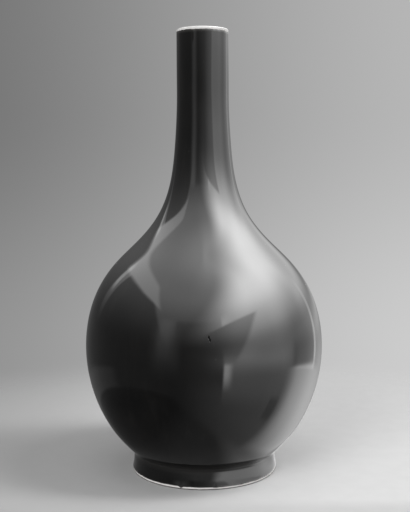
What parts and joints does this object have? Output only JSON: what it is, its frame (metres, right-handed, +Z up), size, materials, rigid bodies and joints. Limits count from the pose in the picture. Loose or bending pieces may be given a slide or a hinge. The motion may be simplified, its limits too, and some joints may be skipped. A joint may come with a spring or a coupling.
{
  "type": "bottle vase",
  "caption": "Round-bellied porcelain bottle vase with a long straight neck and a low foot ring, dark glaze outside and a white band over the lip.",
  "frame": {"origin": "middle of the foot ring, on the surface that the vase stands on", "axes": "+Z up along the axis of the vase, from the foot to the mouth; X and Y are free because the vase is round"},
  "size_m": [0.2164, 0.2164, 0.4],
  "materials": {
    "bare_porcelain": "unglazed, fine matt",
    "slip": "fired slip, matt",
    "dark_glaze": "deep mirror gloss",
    "white_glaze": "gloss",
    "clear_glaze": "gloss over white clay"
  },
  "bodies": {
    "root": {"foot_ring": "bare_porcelain", "foot_seam": "slip", "lower_body": "bare_porcelain", "belly_seam": "slip", "upper_body": "bare_porcelain", "neck_seam": "slip", "neck": "bare_porcelain", "outer_glaze": "dark_glaze", "lip_glaze": "white_glaze", "inner_glaze": "clear_glaze", "base_glaze": "clear_glaze"}
  },
  "joints": []
}
